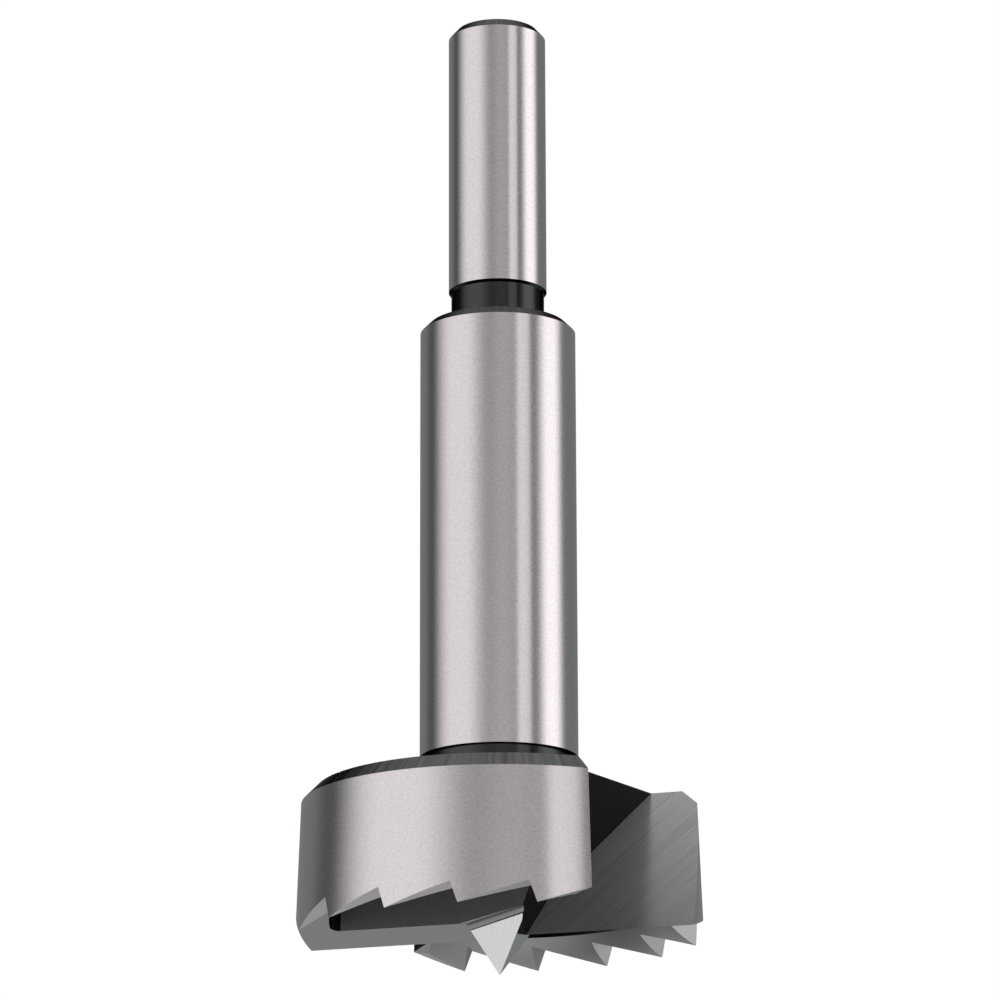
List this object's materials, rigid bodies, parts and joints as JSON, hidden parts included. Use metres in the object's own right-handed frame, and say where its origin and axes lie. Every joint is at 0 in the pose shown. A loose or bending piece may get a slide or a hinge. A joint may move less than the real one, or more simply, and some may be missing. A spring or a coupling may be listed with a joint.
{
  "type": "forstner bit",
  "caption": "Forstner bit with a saw-toothed rim, a square centre point, flat cutting blades and a stepped round shank.",
  "frame": {"origin": "tip of the centre point, on the axis of the shank", "axes": "+Z along the axis from the tip towards the shank; the two cutting edges run along X, and the head repeats after half a turn about Z"},
  "size_m": [0.0402, 0.04, 0.0987],
  "materials": {
    "steel": "satin ground tool steel"
  },
  "bodies": {
    "root": {"forstner_bit": "steel"}
  },
  "joints": []
}
